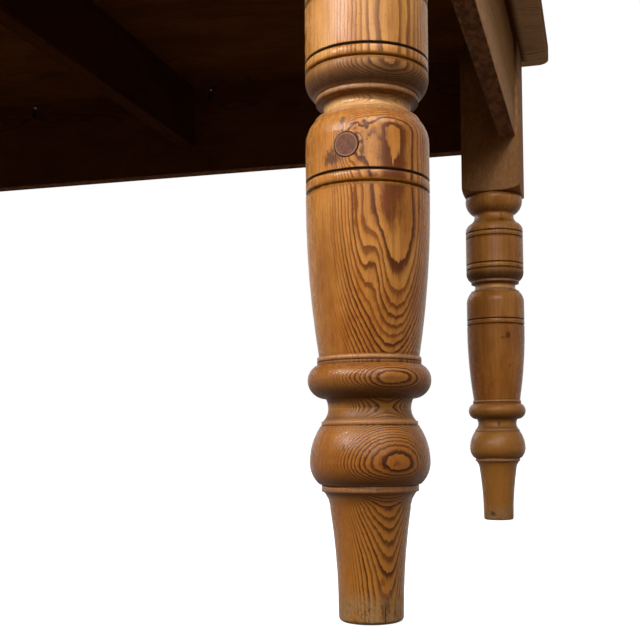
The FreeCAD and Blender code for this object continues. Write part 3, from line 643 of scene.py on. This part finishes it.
planks = {
    "rail_front": {"along": "X", "inside": (0, 1, 0), "heart": (0.06, 0.03), "ring": 2.2, "seed": 11.0},
    "rail_back": {"along": "X", "inside": (0, -1, 0), "heart": (-0.05, 0.04), "ring": 2.0, "seed": 47.0},
    "rail_right": {"along": "Y", "inside": (-1, 0, 0), "heart": (0.05, 0.05), "ring": 2.4, "seed": 83.0},
    "rail_left": {"along": "Y", "inside": (1, 0, 0), "heart": (-0.06, 0.02), "ring": 2.1, "seed": 129.0},
    "bearer_right": {"along": "Y", "heart": (0.05, 0.06), "ring": 2.2, "seed": 163.0},
    "bearer_left": {"along": "Y", "heart": (-0.05, 0.05), "ring": 2.3, "seed": 197.0},
}
boardTints = [rgb(255, 250, 240), rgb(232, 222, 206), rgb(255, 255, 255),
              rgb(240, 234, 222), rgb(226, 214, 196), rgb(248, 244, 236)]
for number, tint in enumerate(boardTints, 1):
    side = 1 if number % 2 else -1
    planks[f"top_board_{number}"] = {
        "along": "X", "inside": (0, 0, -1), "heart": (0.02 * side, -0.05 - 0.01 * number),
        "ring": 2.0 + 0.2 * (number % 3), "seed": 211.0 + 37 * number, "tint": tint,
    }
plankWood = {
    "pale": rgb(176, 126, 72),
    "amber": rgb(150, 98, 46),
    "fibre": rgb(222, 172, 112),
    "late": rgb(98, 54, 22),
    "knot": rgb(66, 30, 12),
    "dust": rgb(150, 118, 82),
    # The unfinished inner faces, darker as bare wood and as painted shade inside the frame
    "under": rgb(92, 54, 25),
    "underPale": rgb(114, 72, 36),
    "underLate": rgb(42, 18, 6),
    "underKnot": rgb(20, 9, 4),
    "litOverhang": rgb(254, 222, 192),
    # The top's joints and edges
    "joint": rgb(44, 24, 10),
    "flank": rgb(72, 52, 34),
    # The rails' outer and lower faces
    "railDust": rgb(166, 132, 96),
    "litLowerEdge": rgb(206, 160, 122),
    "shadeUnderTop": rgb(96, 66, 40),
    "speckDark": rgb(112, 80, 59),
    "speckPale": rgb(152, 114, 90),
    # These two are multiplied in
    "railTint": rgb(208, 188, 134),
    "bearerShade": rgb(190, 176, 160),
}
plankFinish = {
    "turns": {"X": (0, math.radians(90.6), 0), "Y": (math.radians(90.5), 0, 0)},
    "knotSpacing": (0.0075, 0.0075, 0.0021),
    "knotLift": 14.0,
    "edgeWidth": 0.003,
    # Places in metres where the lit overhang starts and is complete, and the heights of the rails' painted
    # light and shade
    "litOverhang": [(0.872, 0.884), (0.482, 0.492)],
    "litLowerEdge": (0.655, 0.598),
    "shadeUnderTop": (0.68, 0.735),
    "outsideY": 0.5,
    "specular": 0.015,
    "bump": 0.0008,
}


def finishTop(tree, wood, coords, plank, levels):
    # The board's own tint, dark joints between the boards and browner outer edges
    wood = cover(tree, wood, 1.0, plank["tint"], blend="MULTIPLY")
    apart = 1.0
    for level in levels:
        if abs(level) < plankFinish["outsideY"]:
            gap = distanceTo(tree, components(tree, coords["Object"])[1], level)
            apart = calc(tree, "MINIMUM", apart, gap)
    flank = vecCalc(tree, "DOT_PRODUCT", vecCalc(tree, "ABSOLUTE", coords["Normal"]), (1, 1, 0))
    return coverAll(tree, wood, [
        (fade(tree, apart, 0.0016, 0.0004), 0.85, plankWood["joint"]),
        (fade(tree, flank, 0.5, 0.95), 0.7, plankWood["flank"]),
    ])


def finishRail(tree, wood, coords, patches):
    # Dusty, with painted light along the lower edge, painted shade under the top, and speckled on the lower
    # face
    wood = cover(tree, wood, 0.9, plankWood["railTint"], blend="MULTIPLY")
    below = fade(tree, vecCalc(tree, "DOT_PRODUCT", coords["Normal"], (0, 0, -1)), 0.5, 0.9)
    specks = fade(tree, patches["Dust"], 0.42, 0.6)
    speckled = cover(tree, plankWood["speckDark"], specks, plankWood["speckPale"])
    level = components(tree, coords["Object"])[2]
    litLowerEdge = fade(tree, level, *plankFinish["litLowerEdge"])
    wood = coverAll(tree, wood, [
        (fade(tree, patches["Dust"], 0.3, 0.7, 0.2, 0.5), 1.0, plankWood["railDust"]),
        # painted light, paler towards the lower edge
        (times(tree, litLowerEdge, fade(tree, patches["Dust"], 0.3, 0.6, 0.4, 0.75)), 1.0, plankWood["litLowerEdge"]),
        # painted shade under the top
        (fade(tree, level, *plankFinish["shadeUnderTop"], 0.0, 0.5), 1.0, plankWood["shadeUnderTop"]),
        (below, 1.0, speckled),
    ])
    return wood, below


def makePlankPine(name, plank):
    material, tree, shader, coords = newMaterial("pine_" + name)
    low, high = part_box(name)
    middle = (low + high) / 2
    across, up = plank["heart"]
    heart = Vector((0, across, up)) if plank["along"] == "X" else Vector((across, 0, up))
    grain = inMillimetres(tree, coords, middle + heart, plankFinish["turns"][plank["along"]])
    seeded = vecCalc(tree, "ADD", grain, (plank["seed"] * 3, plank["seed"], 0))
    spaced = vecCalc(tree, "MULTIPLY", seeded, plankFinish["knotSpacing"])
    cells = addNode(tree, "ShaderNodeTexVoronoi", {"Vector": spaced, "Scale": 1.0}, feature="F1")
    gap = cells.outputs["Distance"]
    lift = times(tree, fade(tree, gap, 0.28, 0.0), plankFinish["knotLift"])
    core = fade(tree, gap, 0.062, 0.05)
    rings = useGroup(tree, growthRings, {"Position": grain, "Lift": lift, "Ring Width": plank["ring"],
                                         "Wander": 12.0, "Fray": 1.0, "Seed": plank["seed"]})
    threads = useGroup(tree, fibre, {"Position": seeded})
    patches = useGroup(tree, mottle, {"Position": seeded, "Size": 90.0})
    broad = patches["Patches"]
    edge = useGroup(tree, boxEdge, {"Position": coords["Object"], "Middle": middle, "Half": (high - low) / 2,
                                    "Width": plankFinish["edgeWidth"]})["Edge"]
    strength = times(tree, rings["Latewood"], fade(tree, rings["Ring Tone"], 0.0, 1.0, 0.35, 0.8))
    wood = coverAll(tree, plankWood["amber"], [
        (fade(tree, broad, 0.35, 0.65), 1.0, plankWood["pale"]),
        (strength, 1.0, plankWood["late"]),
        (fade(tree, threads["Fibre"], 0.35, 0.65, 0.0, 0.3), 1.0, plankWood["fibre"]),
        (threads["Pores"], 0.4, plankWood["underLate"]),
        (core, 0.85, plankWood["knot"]),
        (edge, 0.35, plankWood["dust"]),
    ])
    rough = fade(tree, patches["Dust"], 0.3, 0.7, 0.7, 0.86)
    bareAndShaded = cover(tree, plankWood["under"], fade(tree, broad, 0.3, 0.7), plankWood["underPale"])
    if name.startswith("top"):
        reach = components(tree, vecCalc(tree, "ABSOLUTE", coords["Object"]))
        atEnd, atSide = [fade(tree, reach[index], *plankFinish["litOverhang"][index]) for index in (0, 1)]
        # Painted light: the underside of the overhang is much paler than the underside inside the frame
        bareAndShaded = cover(tree, bareAndShaded, most(tree, atEnd, atSide), plankWood["litOverhang"], 0.9)
        wood = finishTop(tree, wood, coords, plank, (low.y, high.y))
    elif name.startswith("rail"):
        wood, below = finishRail(tree, wood, coords, patches)
        rough = plus(tree, rough, times(tree, below, 0.1))
    bareAndShaded = cover(tree, bareAndShaded, strength, plankWood["underLate"], 0.6)
    bareAndShaded = cover(tree, bareAndShaded, core, plankWood["underKnot"], 0.7)
    # Painted shade: the bearers take the inner faces' colour all round, darkened further
    if name.startswith("bearer"):
        wood = cover(tree, bareAndShaded, 1.0, plankWood["bearerShade"], blend="MULTIPLY")
        rough = plus(tree, rough, 0.1)
    else:
        # The inner faces take the darker colour: bare wood and painted shade
        facing = fade(tree, vecCalc(tree, "DOT_PRODUCT", coords["Normal"], plank["inside"]), 0.3, 0.8)
        wood = cover(tree, wood, facing, bareAndShaded)
        rough = plus(tree, rough, times(tree, facing, 0.12))
    relief = plus(tree, times(tree, rings["Latewood"], 0.5), times(tree, threads["Fibre"], 0.7))
    normal = bumped(tree, relief, 0.35, plankFinish["bump"])
    feed(tree, shader.inputs, {"Base Color": wood, "Roughness": rough, "Normal": normal})
    shader.inputs["Specular IOR Level"].default_value = plankFinish["specular"]
    return material


for name, plank in planks.items():
    dress(name, makePlankPine(name, plank))
print("stage: rails, bearers and top finished")


# Pegs, plug and screws

endGrain = {
    "dark": rgb(84, 44, 24),
    "light": rgb(122, 72, 40),
    "patch": rgb(72, 36, 24),
    "rim": rgb(170, 124, 96),
    "gap": rgb(30, 10, 6),
    "specular": 0.06,
    "bump": 0.0005,
}
screwSteel = {"steel": rgb(120, 114, 106), "rust": rgb(84, 50, 30)}
plug = {"turn": -6, "radiusOfLeg": 0.0445}


def makePegWood(name, rim=None):
    material, tree, shader, coords = newMaterial(name)
    place = scaled(tree, coords["Object"], 1000.0)
    speck = noise(tree, place, 1.1, 4.0, 0.7)
    tone = noise(tree, place, 0.25, 2.0, 0.5)
    wood = cover(tree, endGrain["dark"], fade(tree, speck, 0.35, 0.7), endGrain["light"])
    wood = cover(tree, wood, fade(tree, tone, 0.4, 0.6, 0.0, 0.6), endGrain["patch"])
    if rim:
        # A paler ring inside the plug's rim, which is a painted highlight, and the dark gap round it
        away = vecCalc(tree, "SUBTRACT", coords["Object"], rim["centre"])
        forward = scaled(tree, rim["facing"], vecCalc(tree, "DOT_PRODUCT", away, rim["facing"]))
        away = vecCalc(tree, "SUBTRACT", away, forward)
        reach = share(tree, vecCalc(tree, "LENGTH", away), rim["radius"])
        reach = plus(tree, reach, times(tree, minus(tree, tone, 0.5), 0.08))
        ring = times(tree, fade(tree, reach, 0.78, 0.84), fade(tree, reach, 0.92, 0.86))
        wood = cover(tree, wood, ring, endGrain["rim"], 0.45)
        wood = cover(tree, wood, fade(tree, reach, 0.88, 0.95), endGrain["gap"], 0.92)
    feed(tree, shader.inputs, {"Base Color": wood, "Roughness": fade(tree, speck, 0.3, 0.7, 0.35, 0.55),
                               "Normal": bumped(tree, speck, 0.3, endGrain["bump"])})
    shader.inputs["Specular IOR Level"].default_value = endGrain["specular"]
    return material


def makeScrewSteel():
    material, tree, shader, coords = newMaterial("dulled_steel")
    rust = noise(tree, scaled(tree, coords["Object"], 1000.0), 0.5, 4.0, 0.7)
    metal = cover(tree, screwSteel["steel"], fade(tree, rust, 0.45, 0.62), screwSteel["rust"])
    feed(tree, shader.inputs, {"Base Color": metal, "Metallic": fade(tree, rust, 0.45, 0.62, 0.9, 0.1),
                               "Roughness": fade(tree, rust, 0.4, 0.65, 0.35, 0.8)})
    return material


plugLow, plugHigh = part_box("leg_plug")
plugFacing = outward(plug["turn"])
plugMiddle = Vector((*legs["leg_front_right"]["axis"], (plugLow.z + plugHigh.z) / 2))
plugRim = {"centre": plugMiddle + plugFacing * plug["radiusOfLeg"], "facing": plugFacing,
           "radius": (plugHigh.z - plugLow.z) / 2}
pegFinish = makePegWood("peg_end_grain")
plugFinish = makePegWood("plug_end_grain", plugRim)
screwFinish = makeScrewSteel()
for name in nodes:
    if name == "leg_plug":
        dress(name, plugFinish)
    elif name.startswith("pegs_"):
        dress(name, pegFinish)
    elif name.startswith("screws_"):
        dress(name, screwFinish)
print("stage: pegs, plug and screws finished")


# Floor, light and camera

leftWindow = {"place": (0.041, -1.346, 1.06), "aim": (0.8285, -0.44, 0.40)}
frontWindow = {"place": (1.464, -1.458, 1.66), "aim": (0.8285, -0.44, 0.15)}
rightWindow = {"place": (1.75, -3.3, 1.5), "aim": (0.85, 0.0, 0.40)}
studio = {
    "floorReach": 9.0,
    "floorDrop": 0.0005,
    "floorBounce": (0.15, 0.108, 0.07, 1),
    "floorShown": (0.7, 0.7, 0.7, 1),
    "floorGlow": 0.84,
    "glowFade": (1.6, 2.8),
    "roomColour": (1, 0.98, 0.95, 1),
    "roomLight": 0.12,
    "white": (1, 1, 1, 1),
    "lampColour": (1, 0.97, 0.93),
    "lamps": {
        # Each size is the lamp's width and height, and a shine lamp only makes highlights
        "left_window": {**leftWindow, "size": (0.1, 0.34), "power": 18},
        "front_window": {**frontWindow, "size": (0.35, 0.35), "power": 18},
        "left_shine": {**leftWindow, "size": (0.1, 0.34), "power": 54},
        "front_shine": {**frontWindow, "size": (0.12, 0.12), "power": 44},
        "right_window": {**rightWindow, "size": (1.0, 1.0), "power": 34},
        "right_shine": {**rightWindow, "size": (0.4, 0.4), "power": 64},
        "back_left": {"place": (-2.6, 2.2, 2.4), "aim": (0, 0, 0.5), "size": (2.0, 2.0), "power": 60},
        "above": {"place": (0.2, 0.4, 3.0), "aim": (0, 0, 0.7), "size": (2.4, 2.4), "power": 27},
    },
}


def mixed(tree, factor, first, second):
    return addNode(tree, "ShaderNodeMixShader", {0: factor, 1: first.outputs[0], 2: second.outputs[0]})


def makeFloor():
    mesh = bpy.data.meshes.new("floor")
    shape = bmesh.new()
    lowered = Matrix.Translation((0, 0, -studio["floorDrop"]))
    bmesh.ops.create_grid(shape, x_segments=1, y_segments=1, size=studio["floorReach"], matrix=lowered)
    shape.to_mesh(mesh)
    shape.free()
    floor = bpy.data.objects.new("floor", mesh)
    bpy.context.scene.collection.objects.link(floor)
    material, tree, shader, coords = newMaterial("floor_paint")
    tree.nodes.remove(shader)
    bounce = addNode(tree, "ShaderNodeBsdfDiffuse", {"Color": studio["floorBounce"]})
    shown = addNode(tree, "ShaderNodeBsdfDiffuse", {"Color": studio["floorShown"]})
    away = vecCalc(tree, "LENGTH", coords["Object"])
    strength = fade(tree, away, *studio["glowFade"], studio["floorGlow"], 1.0)
    glow = addNode(tree, "ShaderNodeEmission", {"Color": studio["white"], "Strength": strength})
    lit = addNode(tree, "ShaderNodeAddShader", {0: shown.outputs[0], 1: glow.outputs[0]})
    mirrored = addNode(tree, "ShaderNodeEmission", {"Color": studio["white"], "Strength": 1.0})
    path = addNode(tree, "ShaderNodeLightPath").outputs
    choice = mixed(tree, path["Is Camera Ray"], bounce, lit)
    choice = mixed(tree, most(tree, path["Is Glossy Ray"], path["Is Transmission Ray"]), choice, mirrored)
    # Clear from below, for views of the underside
    under = addNode(tree, "ShaderNodeNewGeometry").outputs["Backfacing"]
    choice = mixed(tree, under, choice, addNode(tree, "ShaderNodeBsdfTransparent"))
    tree.links.new(choice.outputs[0], tree.nodes["Material Output"].inputs["Surface"])
    mesh.materials.append(material)


def makeWorld():
    world = bpy.data.worlds.new("studio")
    bpy.context.scene.world = world
    world.use_nodes = True
    tree = world.node_tree
    tree.nodes.clear()
    path = addNode(tree, "ShaderNodeLightPath").outputs
    dim = {"Color": studio["roomColour"], "Strength": studio["roomLight"]}
    room = addNode(tree, "ShaderNodeBackground", dim)
    white = addNode(tree, "ShaderNodeBackground", {"Color": studio["white"], "Strength": 1.0})
    seen = most(tree, path["Is Glossy Ray"], path["Is Transmission Ray"])
    seen = most(tree, path["Is Camera Ray"], seen)
    choice = mixed(tree, seen, room, white)
    end = addNode(tree, "ShaderNodeOutputWorld")
    tree.links.new(choice.outputs[0], end.inputs["Surface"])


def makeLamps():
    for name, lamp in studio["lamps"].items():
        light = bpy.data.lights.new(name, "AREA")
        light.shape = "RECTANGLE"
        light.size, light.size_y = lamp["size"]
        light.energy = lamp["power"]
        light.color = studio["lampColour"]
        holder = bpy.data.objects.new(name, light)
        holder.location = lamp["place"]
        holder.rotation_euler = (Vector(lamp["aim"]) - holder.location).to_track_quat("-Z", "Y").to_euler()
        holder.visible_camera = False
        holder.visible_diffuse = not name.endswith("shine")
        bpy.context.scene.collection.objects.link(holder)


view = {
    "place": (0.9887, -1.1308, 0.1274),
    "turn": 14.79,  # degrees to the left of straight ahead
    "rise": 3.46,
    "roll": 0.41,
    "focalPixels": 999.0,
    "picturePixels": 640,
    "sensorWidth": 36,
    "shift": (-0.03, 0.09),
    "clip": (0.02, 60),
}


def makeCamera():
    camera = bpy.data.cameras.new("camera")
    camera.sensor_width = view["sensorWidth"]
    camera.lens = view["focalPixels"] / view["picturePixels"] * camera.sensor_width
    camera.shift_x, camera.shift_y = view["shift"]
    camera.clip_start, camera.clip_end = view["clip"]
    holder = bpy.data.objects.new("camera", camera)
    turned = Matrix.Rotation(math.radians(view["turn"]), 4, "Z")
    tipped = Matrix.Rotation(math.radians(90 + view["rise"]), 4, "X")
    rolled = Matrix.Rotation(math.radians(-view["roll"]), 4, "Z")
    holder.matrix_world = Matrix.Translation(view["place"]) @ turned @ tipped @ rolled
    bpy.context.scene.collection.objects.link(holder)
    bpy.context.scene.camera = holder


makeFloor()
makeWorld()
makeLamps()
makeCamera()
bpy.context.scene.view_settings.view_transform = "Standard"
print("stage: studio set")
